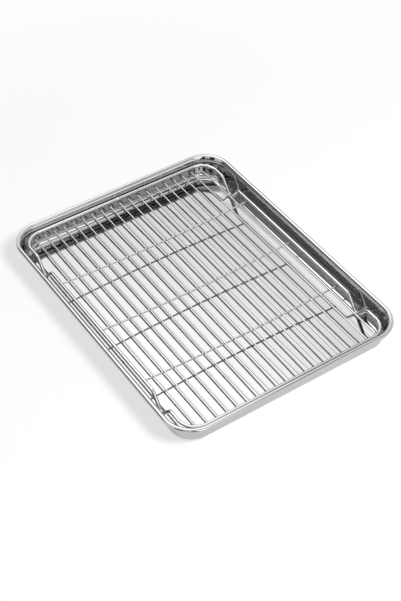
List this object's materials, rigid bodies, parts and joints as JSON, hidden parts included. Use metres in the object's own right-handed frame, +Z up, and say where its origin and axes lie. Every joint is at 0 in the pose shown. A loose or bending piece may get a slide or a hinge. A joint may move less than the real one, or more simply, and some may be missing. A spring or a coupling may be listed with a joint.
{
  "type": "sheet pan with rack",
  "caption": "Shallow stainless sheet pan with sloping walls, rounded corners and a rolled rim, holding a loose wire rack on V-shaped legs that lifts straight out.",
  "frame": {"origin": "middle of the pan's flat underside", "axes": "+X along the pan's length, +Y across it, +Z up out of the pan"},
  "size_m": [0.315, 0.2464, 0.0254],
  "materials": {
    "pan_sheet": "satin",
    "rack_wire": "polished"
  },
  "bodies": {
    "pan": {"sheet_pan": "pan_sheet"},
    "rack": {"rack_frame": "rack_wire", "long_wire_01": "rack_wire", "long_wire_02": "rack_wire", "long_wire_03": "rack_wire", "long_wire_04": "rack_wire", "long_wire_05": "rack_wire", "long_wire_06": "rack_wire", "long_wire_07": "rack_wire", "long_wire_08": "rack_wire", "long_wire_09": "rack_wire", "long_wire_10": "rack_wire", "long_wire_11": "rack_wire", "long_wire_12": "rack_wire", "long_wire_13": "rack_wire", "long_wire_14": "rack_wire", "long_wire_15": "rack_wire", "long_wire_16": "rack_wire", "long_wire_17": "rack_wire", "long_wire_18": "rack_wire", "long_wire_19": "rack_wire", "cross_wire_1": "rack_wire", "cross_wire_2": "rack_wire", "cross_wire_3": "rack_wire"}
  },
  "joints": [
    {"name": "rack_lift", "type": "slide", "parent": "pan", "child": "rack", "axis": [0, 0, 1], "range_m": [0, 0.06]}
  ]
}
